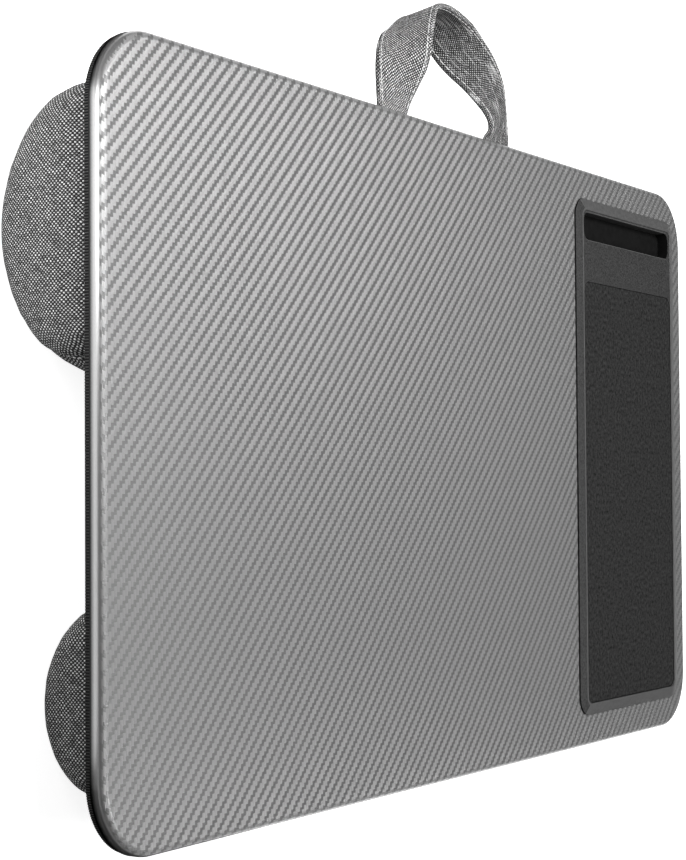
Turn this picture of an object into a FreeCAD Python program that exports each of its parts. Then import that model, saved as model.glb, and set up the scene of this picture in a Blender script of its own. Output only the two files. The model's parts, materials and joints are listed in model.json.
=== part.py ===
"""Lap tray with a two-bolster cushion, a mouse pad insert and a carry strap.

Every piece is drawn in the board's own frame: X to the right, Y to the rear edge,
Z out of the work surface, zero at the middle of the work surface.
One common pose then stands the whole tray on its two bolsters, with +Z up.
"""
import FreeCAD
import Part
import Sketcher
import math
import os

os.makedirs("parts", exist_ok=True)
doc = FreeCAD.newDocument("lap_tray")

# Driving dimensions in millimetres, angles in degrees
DIMENSIONS = {
    # wrapped board
    "board_width": 535.0,
    "board_depth": 305.0,
    "board_thickness": 6.0,
    "board_corner_radius": 30.0,
    "edge_roll_radius": 3.2,
    "film_thickness": 0.5,
    # base sheet and its bound edge
    "base_thickness": 2.0,
    "base_inset": 0.5,
    "binding_thickness": 0.4,
    "binding_leg": 6.0,
    # mouse pad insert
    "tray_width": 129.4,
    "tray_side_margin": 13.5,
    "tray_end_margin": 16.25,
    "tray_corner_radius": 10.0,
    "tape_thickness": 0.2,
    "tape_inset": 1.0,
    "bezel_lip": 0.3,
    "bezel_side_width": 6.0,
    "bezel_end_width": 5.0,
    "bezel_rise": 2.2,
    "rim_land": 1.0,
    "rim_drop": 0.4,
    "bezel_overlap": 4.5,
    "cutout_corner_radius": 6.0,
    "tray_fit": 0.3,
    "tray_wall": 1.8,
    "slot_breadth": 14.4,
    "slot_margin": 1.2,
    "slot_floor": 1.5,
    "slot_corner_radius": 5.0,
    "slot_lip_chamfer": 0.5,
    "bridge_breadth": 22.6,
    "pad_thickness": 2.0,
    "pad_seam": 0.4,
    "pad_corner_radius": 6.0,
    "pad_edge_round": 0.4,
    "adhesive_thickness": 0.2,
    "adhesive_inset": 2.0,
    "rib_thickness": 1.8,
    # bolsters
    "seam_margin": 17.5,
    "cloth_thickness": 1.2,
    "seam_draw": 0.8,
    "draw_length": 45.0,
    "crown_half_angle": 36.0,
    "rear_margin": 72.0,
    "rear_depth": 51.0,
    "rear_crown_radius": 64.5,
    "rear_side_radius": 38.0,
    "rear_end_bulge": 12.0,
    "rear_end_roll": 14.0,
    "front_margin": 55.7,
    "front_depth": 30.7,
    "front_crown_radius": 42.0,
    "front_side_radius": 38.0,
    "front_end_bulge": 10.0,
    "front_end_roll": 8.0,
    "foot_flat": 0.5,
    # carry strap
    "strap_width": 26.0,
    "strap_thickness": 2.4,
    "strap_half_span": 50.0,
    "strap_offset": 4.4,
    "strap_rise": 57.0,
    "strap_lean": 15.2,
    "strap_twist": 90.0,
    "swing_gap": 0.4,
    "strap_fit": 0.2,
    "tail_length": 38.0,
    "tail_end_gap": 0.3,
    "staple_crown": 10.0,
    "staple_wire": 0.8,
    "staple_leg": 4.0,
    "staple_pitch": 12.0,
}
RIB_CELLS = 5
STAPLE_ROWS = 2

# Bolster wrap: places from an end seam to where the cover runs straight, as shares of the drawn length
DRAW_SHARES = (0.0, 0.2, 0.45, 0.7, 1.0)
# Domed end panel: turn from the seam to the crown of the dome, in degrees
DOME_TURNS = (0.0, 30.0, 60.0, 85.0)
# Carry strap, from a foot to the top: share of half span, rise, lean and twist
STRAP_SHARES = (
    (1.0, 0.0, 0.0, 0.0),
    (0.97, 0.25, 0.11, 0.39),
    (0.885, 0.48, 0.21, 0.75),
    (0.715, 0.675, 0.47, 0.88),
    (0.49, 0.825, 0.74, 0.93),
    (0.245, 0.94, 0.92, 0.97),
    (0.0, 1.0, 1.0, 1.0),
)

sizes = doc.addObject("Spreadsheet::Sheet", "sizes")
for row, (alias, value) in enumerate(DIMENSIONS.items(), start=1):
    sizes.set(f"A{row}", alias)
    sizes.set(f"B{row}", str(value))
    sizes.setAlias(f"B{row}", alias)
doc.recompute()


def size(alias):
    """One driving dimension as a number."""
    return float(sizes.get(alias))


def sized(text):
    """An expression in which each driving dimension is read from the sheet."""
    words = text.replace("(", " ( ").replace(")", " ) ").split()
    return " ".join(f"sizes.{word}" if word in DIMENSIONS else word for word in words)


# Modelling steps that several pieces share

def new_body(label):
    body = doc.addObject("PartDesign::Body", label)
    body.Label = label
    return body


def rounded_rectangle(body, name, width, depth, radius, x="0", y="0", z="0"):
    """Sketch a rectangle with round corners, centred on x, y, at height z."""
    sketch = body.newObject("Sketcher::SketchObject", name)
    plane = next(p for p in body.Origin.OriginFeatures if p.Role == "XY_Plane")
    sketch.AttachmentSupport = [(plane, "")]
    sketch.MapMode = "FlatFace"
    for axis, place in (("x", x), ("y", y), ("z", z)):
        sketch.setExpression(f"AttachmentOffset.Base.{axis}", sized(place))
    half_w = sketch.evalExpression(sized(width)) / 2
    half_d = sketch.evalExpression(sized(depth)) / 2
    r = sketch.evalExpression(sized(radius))
    corners = [(half_w, -half_d), (half_w, half_d), (-half_w, half_d), (-half_w, -half_d)]
    for number, (cx, cy) in enumerate(corners):
        px, py = corners[number - 1]
        ux = (cx > px) - (cx < px)
        uy = (cy > py) - (cy < py)
        start = FreeCAD.Vector(px + ux * r, py + uy * r, 0)
        end = FreeCAD.Vector(cx - ux * r, cy - uy * r, 0)
        sketch.addGeometry(Part.LineSegment(start, end), False)
    for number, (cx, cy) in enumerate(corners):
        centre = FreeCAD.Vector(math.copysign(half_w - r, cx), math.copysign(half_d - r, cy), 0)
        circle = Part.Circle(centre, FreeCAD.Vector(0, 0, 1), r)
        first = math.radians(90 * number - 90)
        sketch.addGeometry(Part.ArcOfCircle(circle, first, first + math.pi / 2), False)
    rules = []
    for number in range(4):
        arc = number + 4
        rules.append(Sketcher.Constraint("Tangent", number, 2, arc, 1))
        rules.append(Sketcher.Constraint("Tangent", arc, 2, (number + 1) % 4, 1))
        rules.append(Sketcher.Constraint("Vertical" if number % 2 else "Horizontal", number))
    for arc in (5, 6, 7):
        rules.append(Sketcher.Constraint("Equal", 4, arc))
    sketch.addConstraint(rules)
    named = (
        ("radius", Sketcher.Constraint("Radius", 4, r), radius),
        ("half_width", Sketcher.Constraint("DistanceX", -1, 1, 1, 1, half_w), f"({width}) / 2"),
        ("half_depth", Sketcher.Constraint("DistanceY", -1, 1, 2, 1, half_d), f"({depth}) / 2"),
        ("full_width", Sketcher.Constraint("DistanceX", 3, 1, 1, 1, 2 * half_w), width),
        ("full_depth", Sketcher.Constraint("DistanceY", 0, 1, 2, 1, 2 * half_d), depth),
    )
    for label, rule, text in named:
        index = sketch.addConstraint(rule)
        sketch.renameConstraint(index, label)
        sketch.setExpression(f"Constraints.{label}", sized(text))
    return sketch


def pad(body, sketch, length, downward=False):
    feature = body.newObject("PartDesign::Pad", sketch.Name + "_pad")
    feature.Profile = sketch
    feature.setExpression("Length", sized(length))
    feature.Reversed = downward
    return feature


def pocket(body, sketch, length, upward=False):
    """Cut downward from the sketch, or upward when the cut comes from the underside."""
    doc.recompute()
    before = body.Shape.Volume
    feature = body.newObject("PartDesign::Pocket", sketch.Name + "_pocket")
    feature.Profile = sketch
    feature.setExpression("Length", sized(length))
    feature.Reversed = upward
    doc.recompute()
    if body.Shape.Volume >= before:
        raise RuntimeError(f"{feature.Name} removed nothing")
    return feature


def fillet(body, base, radius, chosen):
    """Round the edges of base that the test picks."""
    doc.recompute()
    names = [f"Edge{i}" for i, edge in enumerate(base.Shape.Edges, start=1) if chosen(edge)]
    feature = body.newObject("PartDesign::Fillet", base.Name + "_round")
    feature.Base = (base, names)
    feature.setExpression("Radius", sized(radius))
    return feature


def at_height(z):
    """A test for edges that lie flat at one height."""
    tolerance = size("film_thickness") / 10

    def level(edge):
        return abs(edge.BoundBox.ZMin - z) < tolerance and abs(edge.BoundBox.ZMax - z) < tolerance

    return level


def solid_piece(label, shape):
    """A piece whose form is built from sections in code."""
    piece = doc.addObject("Part::Feature", label)
    piece.Label = label
    piece.Shape = shape
    return piece


# Places that several pieces share, as expressions in the driving dimensions
TRAY_X = "board_width / 2 - tray_side_margin - tray_width / 2"
TRAY_DEPTH = "board_depth - 2 * tray_end_margin"
CUTOUT_WIDTH = "tray_width - 2 * bezel_overlap"
CUTOUT_DEPTH = f"{TRAY_DEPTH} - 2 * bezel_overlap"

# Wrapped board: a fibreboard core with the insert's cut-out and two strap recesses below
board = new_body("top_board")
core_sketch = rounded_rectangle(
    board, "core", "board_width - 2 * film_thickness", "board_depth - 2 * film_thickness",
    "board_corner_radius - film_thickness", z="0 - film_thickness")
core = pad(board, core_sketch, "board_thickness - film_thickness", downward=True)
fillet(board, core, "edge_roll_radius - film_thickness", at_height(-size("film_thickness")))
core_cutout = rounded_rectangle(
    board, "core_cutout", CUTOUT_WIDTH, CUTOUT_DEPTH, "cutout_corner_radius", x=TRAY_X)
pocket(board, core_cutout, "board_thickness")
for side, sign in (("left", "0 -"), ("right", "0 +")):
    recess = rounded_rectangle(
        board, f"core_{side}_recess", "strap_width + 2 * strap_fit", "2 * tail_length",
        "2 * strap_fit", x=f"{sign} strap_half_span - strap_offset", y="board_depth / 2", z="0 - board_thickness")
    pocket(board, recess, "strap_thickness", upward=True)

# Patterned film drawn over the face and down the rolled edge, open below
film = new_body("top_film")
film_sketch = rounded_rectangle(film, "film", "board_width", "board_depth", "board_corner_radius")
pad(film, film_sketch, "board_thickness", downward=True)
film_inside = rounded_rectangle(
    film, "film_inside", "board_width - 2 * film_thickness", "board_depth - 2 * film_thickness",
    "board_corner_radius - film_thickness", z="0 - board_thickness")
film_hollow = pocket(film, film_inside, "board_thickness - film_thickness", upward=True)
film_lined = fillet(
    film, film_hollow, "edge_roll_radius - film_thickness", at_height(-size("film_thickness")))
fillet(film, film_lined, "edge_roll_radius", at_height(0))
film_cutout = rounded_rectangle(
    film, "film_cutout", CUTOUT_WIDTH, CUTOUT_DEPTH, "cutout_corner_radius", x=TRAY_X)
pocket(film, film_cutout, "board_thickness")
for side, sign in (("left", "0 -"), ("right", "0 +")):
    notch = rounded_rectangle(
        film, f"film_{side}_notch", "strap_width + 2 * strap_fit", "2 * tail_length",
        "2 * strap_fit", x=f"{sign} strap_half_span - strap_offset", y="board_depth / 2", z="0 - board_thickness")
    pocket(film, notch, "strap_thickness", upward=True)

# Base sheet under the board, with a tape bound round its edge
SHEET_IN = "(base_inset + binding_thickness)"
sheet = new_body("base_sheet")
sheet_sketch = rounded_rectangle(
    sheet, "sheet", f"board_width - 2 * {SHEET_IN}", f"board_depth - 2 * {SHEET_IN}",
    f"board_corner_radius - {SHEET_IN}", z="0 - board_thickness")
pad(sheet, sheet_sketch, "base_thickness", downward=True)

binding = new_body("base_binding")
binding_sketch = rounded_rectangle(
    binding, "binding", "board_width - 2 * base_inset", "board_depth - 2 * base_inset",
    "board_corner_radius - base_inset", z="0 - board_thickness")
pad(binding, binding_sketch, "base_thickness + binding_thickness", downward=True)
binding_seat = rounded_rectangle(
    binding, "binding_seat", f"board_width - 2 * {SHEET_IN}", f"board_depth - 2 * {SHEET_IN}",
    f"board_corner_radius - {SHEET_IN}", z="0 - board_thickness")
pocket(binding, binding_seat, "base_thickness")
LEG_IN = f"({SHEET_IN} + binding_leg)"
binding_open = rounded_rectangle(
    binding, "binding_open", f"board_width - 2 * {LEG_IN}", f"board_depth - 2 * {LEG_IN}",
    f"board_corner_radius - {LEG_IN}", z="0 - board_thickness - base_thickness")
pocket(binding, binding_open, "binding_thickness")

# Insert moulding: sloped bezel, phone slot, mouse pad bed, ribs below
FACE_Z = "bezel_rise - rim_drop"
FACE_WIDTH = "tray_width - 2 * (bezel_side_width + rim_land)"
FACE_DEPTH = f"{TRAY_DEPTH} - 2 * (bezel_end_width + rim_land)"
FACE_REAR = f"({FACE_DEPTH}) / 2"
PAD_WIDTH = f"{FACE_WIDTH} - 2 * pad_seam"
SLOT_WIDTH = f"{FACE_WIDTH} - 2 * slot_margin"
SLOT_Y = f"{FACE_REAR} - slot_margin - slot_breadth / 2"
PAD_REAR = f"({FACE_REAR} - slot_margin - slot_breadth - bridge_breadth)"
PAD_LENGTH = f"({PAD_REAR} + {FACE_REAR} - pad_seam)"
PAD_Y = f"{PAD_REAR} - {PAD_LENGTH} / 2"
BED_DEPTH = "pad_thickness + adhesive_thickness"
BED_UNDERSIDE = f"({FACE_Z} - ({BED_DEPTH}) - tray_wall)"
SKIRT_WIDTH = f"{CUTOUT_WIDTH} - 2 * tray_fit"
SKIRT_DEPTH = f"{CUTOUT_DEPTH} - 2 * tray_fit"

tray = new_body("mouse_pad_tray")
lip = rounded_rectangle(
    tray, "lip", "tray_width", TRAY_DEPTH, "tray_corner_radius", x=TRAY_X, z="tape_thickness")
pad(tray, lip, "bezel_lip")
slope_foot = rounded_rectangle(
    tray, "slope_foot", "tray_width", TRAY_DEPTH, "tray_corner_radius",
    x=TRAY_X, z="tape_thickness + bezel_lip")
slope_top = rounded_rectangle(
    tray, "slope_top", "tray_width - 2 * bezel_side_width", f"{TRAY_DEPTH} - 2 * bezel_end_width",
    "tray_corner_radius - bezel_end_width", x=TRAY_X, z="bezel_rise")
bezel = tray.newObject("PartDesign::AdditiveLoft", "bezel")
bezel.Profile = slope_foot
bezel.Sections = [slope_top]
bezel.Ruled = True
skirt = rounded_rectangle(
    tray, "skirt", SKIRT_WIDTH, SKIRT_DEPTH, "cutout_corner_radius - tray_fit",
    x=TRAY_X, z="tape_thickness")
pad(tray, skirt, "tape_thickness + board_thickness", downward=True)
face = rounded_rectangle(
    tray, "face", FACE_WIDTH, FACE_DEPTH, "tray_corner_radius - bezel_end_width - rim_land",
    x=TRAY_X, z="bezel_rise")
pocket(tray, face, "rim_drop")
bed = rounded_rectangle(
    tray, "bed", f"{PAD_WIDTH} + pad_seam", f"{PAD_LENGTH} + pad_seam", "pad_corner_radius + pad_seam / 2",
    x=TRAY_X, y=PAD_Y, z=FACE_Z)
pocket(tray, bed, BED_DEPTH)
slot = rounded_rectangle(
    tray, "slot", SLOT_WIDTH, "slot_breadth", "slot_corner_radius", x=TRAY_X, y=SLOT_Y, z=FACE_Z)
slot_cut = pocket(tray, slot, f"{FACE_Z} + board_thickness - slot_floor")
slot_middle = slot.evalExpression(sized(SLOT_Y))
slot_reach = size("slot_breadth") / 2 + size("slot_margin") / 2
face_edge = at_height(size("bezel_rise") - size("rim_drop"))
slot_lip = tray.newObject("PartDesign::Chamfer", "slot_lip")
slot_lip.Base = (slot_cut, [
    f"Edge{i}" for i, edge in enumerate(slot_cut.Shape.Edges, start=1)
    if face_edge(edge)
    and edge.BoundBox.YMax < slot_middle + slot_reach and edge.BoundBox.YMin > slot_middle - slot_reach])
slot_lip.setExpression("Size", sized("slot_lip_chamfer"))
bridge_cell = rounded_rectangle(
    tray, "bridge_cell", f"{SKIRT_WIDTH} - 2 * tray_wall", "bridge_breadth - 2 * tray_wall", "rib_thickness",
    x=TRAY_X, y=f"{PAD_REAR} + bridge_breadth / 2", z="0 - board_thickness")
pocket(tray, bridge_cell, f"board_thickness + {FACE_Z} - tray_wall", upward=True)
CELL_PITCH = f"({PAD_LENGTH} / {RIB_CELLS})"
rib_cell = rounded_rectangle(
    tray, "rib_cell", f"{SKIRT_WIDTH} - 2 * tray_wall", f"{CELL_PITCH} - rib_thickness", "rib_thickness",
    x=TRAY_X, y=f"{PAD_REAR} - {CELL_PITCH} / 2", z="0 - board_thickness")
rib_pocket = pocket(tray, rib_cell, f"board_thickness + {BED_UNDERSIDE}", upward=True)
ribs = tray.newObject("PartDesign::LinearPattern", "ribs")
ribs.Originals = [rib_pocket]
ribs.Direction = (rib_cell, ["V_Axis"])
ribs.Reversed = True
ribs.setExpression("Length", sized(f"{CELL_PITCH} * {RIB_CELLS - 1}"))
ribs.Occurrences = RIB_CELLS
tray.Tip = ribs

# Double-sided tape that holds the bezel to the film
tape = new_body("tray_tape")
tape_sketch = rounded_rectangle(
    tape, "tape", "tray_width - 2 * tape_inset", f"{TRAY_DEPTH} - 2 * tape_inset",
    "tray_corner_radius - tape_inset", x=TRAY_X)
pad(tape, tape_sketch, "tape_thickness")
tape_open = rounded_rectangle(
    tape, "tape_open", CUTOUT_WIDTH, CUTOUT_DEPTH, "cutout_corner_radius", x=TRAY_X, z="tape_thickness")
pocket(tape, tape_open, "tape_thickness")

# Mouse pad and the adhesive sheet below it
mouse_pad = new_body("mouse_pad")
pad_sketch = rounded_rectangle(
    mouse_pad, "pad", PAD_WIDTH, PAD_LENGTH, "pad_corner_radius", x=TRAY_X, y=PAD_Y, z=FACE_Z)
pad_block = pad(mouse_pad, pad_sketch, "pad_thickness", downward=True)
fillet(mouse_pad, pad_block, "pad_edge_round", at_height(size("bezel_rise") - size("rim_drop")))

adhesive = new_body("pad_adhesive")
adhesive_sketch = rounded_rectangle(
    adhesive, "glue", f"{PAD_WIDTH} - 2 * adhesive_inset", f"{PAD_LENGTH} - 2 * adhesive_inset",
    "pad_corner_radius - adhesive_inset", x=TRAY_X, y=PAD_Y, z=f"{FACE_Z} - pad_thickness")
pad(adhesive, adhesive_sketch, "adhesive_thickness", downward=True)

# Strap tails that lie in the board's recesses
pivot_y = size("board_depth") / 2 + size("strap_thickness") / 2 + size("swing_gap")
pivot_z = size("strap_thickness") / 2 - size("board_thickness")


def strap_x(share):
    """Across the board, the place of the strap's middle line at a share of its half span."""
    return share * size("strap_half_span") - size("strap_offset")


tails = {}
for side, sign in (("left", -1), ("right", 1)):
    tail = doc.addObject("Part::Box", f"strap_tail_{side}")
    tail.Label = f"strap_tail_{side}"
    tail.setExpression("Length", sized("strap_width"))
    tail.setExpression("Width", sized("tail_length - strap_fit + swing_gap - tail_end_gap"))
    tail.setExpression("Height", sized("strap_thickness"))
    corner = FreeCAD.Vector(
        strap_x(sign) - size("strap_width") / 2,
        size("board_depth") / 2 - size("tail_length") + size("strap_fit"),
        -size("board_thickness"))
    tails[tail] = FreeCAD.Placement(corner, FreeCAD.Rotation())

# Staples driven up through the tails into the core, crowns sunk flush in the strap
wire = size("staple_wire")
staple_solids = []
for sign in (-1, 1):
    for number in range(STAPLE_ROWS):
        middle = strap_x(sign)
        row_y = size("board_depth") / 2 - size("staple_pitch") * (number + 1)
        low = FreeCAD.Vector(middle - size("staple_crown") / 2, row_y, -size("board_thickness"))
        crown = Part.makeBox(size("staple_crown"), wire, wire, low)
        left_leg = Part.makeBox(wire, wire, size("staple_leg"), low)
        step = FreeCAD.Vector(size("staple_crown") - wire, 0, 0)
        right_leg = Part.makeBox(wire, wire, size("staple_leg"), low + step)
        staple_solids.append(crown.fuse([left_leg, right_leg]).removeSplitter().Solids[0])
staples = solid_piece("strap_staples", Part.makeCompound(staple_solids))


# Carry strap: a flat band that stands flat at its feet and turns edge-on at the top

def strap_station(shares, sign):
    """Middle of the band and its cross direction at one station of the left or right leg."""
    span, rise, lean, twist = shares
    point = FreeCAD.Vector(
        strap_x(sign * span),
        pivot_y + rise * size("strap_rise"),
        pivot_z - lean * size("strap_lean"))
    turn = math.radians(twist * size("strap_twist"))
    return point, FreeCAD.Vector(math.cos(turn), 0, math.sin(turn))


stations = [strap_station(shares, -1) for shares in STRAP_SHARES]
stations += [strap_station(shares, 1) for shares in reversed(STRAP_SHARES[:-1])]
band_sections = []
for number, (point, across) in enumerate(stations):
    along = FreeCAD.Vector(0, 1, 0)
    if number == len(stations) - 1:
        along = FreeCAD.Vector(0, -1, 0)
    elif number > 0:
        along = stations[number + 1][0] - stations[number - 1][0]
    along.normalize()
    across = across - along * across.dot(along)
    across.normalize()
    half_across = across * (size("strap_width") / 2)
    half_through = across.cross(along) * (size("strap_thickness") / 2)
    ring = [point + half_across + half_through, point - half_across + half_through,
            point - half_across - half_through, point + half_across - half_through]
    band_sections.append(Part.makePolygon(ring + ring[:1]))
band = Part.makeLoft(band_sections, True, False)
foot_rounds = []
for sign in (-1, 1):
    start = FreeCAD.Vector(strap_x(sign) - size("strap_width") / 2, pivot_y, pivot_z)
    foot_rounds.append(Part.makeCylinder(
        size("strap_thickness") / 2, size("strap_width"), start, FreeCAD.Vector(1, 0, 0)))
strap = solid_piece("handle_strap", band.fuse(foot_rounds).removeSplitter())


# Bolsters: sewn covers with domed end panels round a loose fill

def bolster_section(name, x, inset, top_drop):
    """One cross-section: a seat line, two side arcs and the crown arc, all tangent, drawn in by inset."""
    crown_radius = size(f"{name}_crown_radius")
    side_radius = size(f"{name}_side_radius")
    turn = math.radians(size("crown_half_angle"))
    seat = -size("board_thickness") - size("base_thickness")
    middle = bolster_middle(name)
    crown_z = crown_radius - size(f"{name}_depth")
    side_y = (crown_radius - side_radius) * math.sin(turn)
    side_z = crown_z - (crown_radius - side_radius) * math.cos(turn)
    side = side_radius - inset
    crown = crown_radius - inset
    top_turn = math.asin((-top_drop - side_z) / side)
    half_turn = (top_turn + turn - math.pi / 2) / 2

    def at(y, z):
        return FreeCAD.Vector(x, middle + y, seat + z)

    top_y = side_y + side * math.cos(top_turn)
    bulge_y = side_y + side * math.cos(half_turn)
    bulge_z = side_z + side * math.sin(half_turn)
    join_y = crown * math.sin(turn)
    join_z = crown_z - crown * math.cos(turn)
    return Part.Wire([
        Part.LineSegment(at(-top_y, -top_drop), at(top_y, -top_drop)).toShape(),
        Part.Arc(at(top_y, -top_drop), at(bulge_y, bulge_z), at(join_y, join_z)).toShape(),
        Part.Arc(at(join_y, join_z), at(0, crown_z - crown), at(-join_y, join_z)).toShape(),
        Part.Arc(at(-join_y, join_z), at(-bulge_y, bulge_z), at(-top_y, -top_drop)).toShape(),
    ])


def bolster_middle(name):
    """The bolster's middle line, set in from the board's rear or front edge."""
    edge = size("board_depth") / 2
    return edge - size("rear_margin") if name == "rear" else size("front_margin") - edge


def seam_place():
    """Half the distance between a bolster's two end seams."""
    return size("board_width") / 2 - size("seam_margin")


def wrap_solid(name, skin):
    """The bolster between its two end seams, drawn in by the skin thickness."""
    left = []
    right = []
    for share in DRAW_SHARES:
        x = seam_place() - share * size("draw_length")
        draw = size("seam_draw") * (1 - share) ** 2
        left.append(bolster_section(name, -x, draw + skin, skin))
        right.append(bolster_section(name, x, draw + skin, skin))
    return Part.makeLoft(left + right[::-1], True, True)


def dome_solid(name, sign, skin):
    """The puffed end beyond one end seam, drawn in by the skin thickness."""
    sections = []
    for turn in DOME_TURNS:
        reach = (size(f"{name}_end_bulge") - skin) * math.sin(math.radians(turn))
        roll = size(f"{name}_end_roll") * (1 - math.cos(math.radians(turn)))
        x = sign * (seam_place() + reach)
        sections.append(bolster_section(name, x, size("seam_draw") + roll + skin, roll + skin))
    return Part.makeLoft(sections, True, True)


# Resting pose: the tilt that lets both crowns touch the floor, then the lift onto it

def crown_centre(name):
    seat = -size("board_thickness") - size("base_thickness")
    return bolster_middle(name), seat + size(f"{name}_crown_radius") - size(f"{name}_depth")


rear_y, rear_z = crown_centre("rear")
front_y, front_z = crown_centre("front")
reach = math.hypot(rear_y - front_y, rear_z - front_z)
lean = math.atan2(rear_z - front_z, rear_y - front_y)
tilt = math.asin((size("rear_crown_radius") - size("front_crown_radius")) / reach) - lean
lowest = rear_y * math.sin(tilt) + rear_z * math.cos(tilt) - size("rear_crown_radius")
tilt_turn = FreeCAD.Rotation(FreeCAD.Vector(1, 0, 0), math.degrees(tilt))
lift = FreeCAD.Placement(FreeCAD.Vector(0, 0, -lowest - size("foot_flat")), tilt_turn)

# The floor, as a block that trims a flat foot on each cover
floor_block = Part.makeBox(
    2 * size("board_width"), 2 * size("board_width"), size("board_width"),
    FreeCAD.Vector(-size("board_width"), -size("board_width"), -size("board_width")))
floor_block.Placement = lift.inverse()

cloth = size("cloth_thickness")
for name in ("rear", "front"):
    stuffing = wrap_solid(name, cloth)
    cover = wrap_solid(name, 0).cut(stuffing).cut(floor_block)
    solid_piece(f"{name}_bolster_cover", cover.Solids[0])
    for side, sign in (("left", -1), ("right", 1)):
        end_stuffing = dome_solid(name, sign, cloth)
        end_panel = dome_solid(name, sign, 0).cut(end_stuffing).cut(floor_block)
        solid_piece(f"{name}_bolster_end_{side}", end_panel.Solids[0])
        stuffing = stuffing.fuse(end_stuffing)
    solid_piece(f"{name}_bolster_fill", stuffing.removeSplitter().Solids[0])

# Stand the tray on the floor with its box centred over the origin
doc.recompute()
footprint = Part.makeCompound([film.Shape, strap.Shape])
footprint.Placement = lift
box = footprint.optimalBoundingBox(False)
pose = FreeCAD.Placement(FreeCAD.Vector(0, -(box.YMin + box.YMax) / 2, lift.Base.z), tilt_turn)
bodies = [item for item in doc.Objects if item.TypeId == "PartDesign::Body"]
features = [item for item in doc.Objects if item.TypeId == "Part::Feature"]
for piece in bodies + features:
    piece.Placement = pose
for tail, place in tails.items():
    tail.Placement = pose.multiply(place)
doc.recompute()

failed = [item.Name for item in doc.Objects if {"Invalid", "Error"} & set(item.State)]
if failed:
    raise RuntimeError(f"failed to recompute: {failed}")
pieces = bodies + features + list(tails)
for piece in pieces:
    if piece.Shape.isNull() or not piece.Shape.isValid():
        raise RuntimeError(f"{piece.Label} has no valid shape")
for piece in pieces:
    piece.Shape.exportStep(f"parts/{piece.Label}.step")

pivot = pose.multVec(FreeCAD.Vector(0, pivot_y, pivot_z))
print(f"tilt {math.degrees(tilt):.3f} degrees, pose {pose.Base.y:.3f} {pose.Base.z:.3f}")
print(f"strap pivot {pivot.y:.3f} {pivot.z:.3f}")
for piece in pieces:
    box = piece.Shape.optimalBoundingBox(False)
    print(f"{piece.Label}: {len(piece.Shape.Solids)} solids, {piece.Shape.Volume:.0f} mm3, "
          f"x {box.XMin:.2f} {box.XMax:.2f} y {box.YMin:.2f} {box.YMax:.2f} z {box.ZMin:.2f} {box.ZMax:.2f}")
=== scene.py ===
"""Lap tray with cushion: finishes, soft pieces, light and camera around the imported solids."""

import json
import math

import bmesh
import bpy
from mathutils import Matrix, Vector, noise


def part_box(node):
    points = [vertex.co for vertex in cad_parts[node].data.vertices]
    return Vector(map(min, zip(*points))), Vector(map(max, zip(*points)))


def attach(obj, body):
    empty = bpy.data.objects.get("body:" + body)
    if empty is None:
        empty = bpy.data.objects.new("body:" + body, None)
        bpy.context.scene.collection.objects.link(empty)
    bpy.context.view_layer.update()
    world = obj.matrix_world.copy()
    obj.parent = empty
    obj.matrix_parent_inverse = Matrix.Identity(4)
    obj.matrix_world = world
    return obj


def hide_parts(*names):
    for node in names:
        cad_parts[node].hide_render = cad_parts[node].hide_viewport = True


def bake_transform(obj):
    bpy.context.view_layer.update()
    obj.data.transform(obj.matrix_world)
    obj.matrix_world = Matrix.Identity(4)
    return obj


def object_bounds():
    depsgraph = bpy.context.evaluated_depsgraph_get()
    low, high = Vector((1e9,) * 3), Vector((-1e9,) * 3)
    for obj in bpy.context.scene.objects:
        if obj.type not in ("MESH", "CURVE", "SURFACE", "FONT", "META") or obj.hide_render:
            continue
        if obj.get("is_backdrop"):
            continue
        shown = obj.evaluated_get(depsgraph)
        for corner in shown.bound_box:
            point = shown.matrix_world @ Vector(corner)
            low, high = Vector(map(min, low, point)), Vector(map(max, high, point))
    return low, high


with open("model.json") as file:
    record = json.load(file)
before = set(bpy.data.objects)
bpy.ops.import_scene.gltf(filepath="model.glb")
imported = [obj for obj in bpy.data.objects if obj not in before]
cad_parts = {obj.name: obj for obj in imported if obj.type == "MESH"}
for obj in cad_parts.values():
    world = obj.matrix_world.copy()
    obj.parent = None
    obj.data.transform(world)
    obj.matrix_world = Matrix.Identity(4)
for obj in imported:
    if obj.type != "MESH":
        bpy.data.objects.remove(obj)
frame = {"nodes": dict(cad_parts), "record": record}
cad_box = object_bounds()


# Pose of the board: the tray stands tilted on its two bolsters.
# Pieces are drawn flat in the board's own frame, zero at the middle of the work surface, Z out of it
# and Y to the rear edge, and are then laid in this pose.
surface = next(mount for mount in frame["record"]["mounts"] if mount["name"] == "work_surface")
board_tilt = math.atan2(-surface["axis"][1], surface["axis"][2])
board_origin = Vector((0, surface["pos_m"][1], surface["pos_m"][2]))
board_pose = Matrix.Translation(board_origin) @ Matrix.Rotation(board_tilt, 4, "X")
to_board = board_pose.inverted()


# Core board: raw fibreboard, sawn to a rounded rectangle with the insert's cut-out.
# The film hides it above and round the edge, and the base sheet below.
FIBRE_SCALE = 900
FIBRE_RELIEF = 0.0001
FIBRE_DARK = (0.30, 0.21, 0.13, 1)
FIBRE_LIGHT = (0.46, 0.34, 0.22, 1)


def place_node(tree, kind, inputs=None, **options):
    """Add a shader node, set its options, and set or join its inputs by name or number."""
    node = tree.nodes.new(kind)
    for option, value in options.items():
        setattr(node, option, value)
    for key, value in (inputs or {}).items():
        if isinstance(value, bpy.types.NodeSocket):
            tree.links.new(value, node.inputs[key])
        else:
            node.inputs[key].default_value = value
    return node


def speckle(tree, vector, scale, detail=4):
    """Cloudy noise from 0 to 1."""
    inputs = {"Vector": vector, "Scale": scale, "Detail": detail}
    return place_node(tree, "ShaderNodeTexNoise", inputs).outputs["Fac"]


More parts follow.
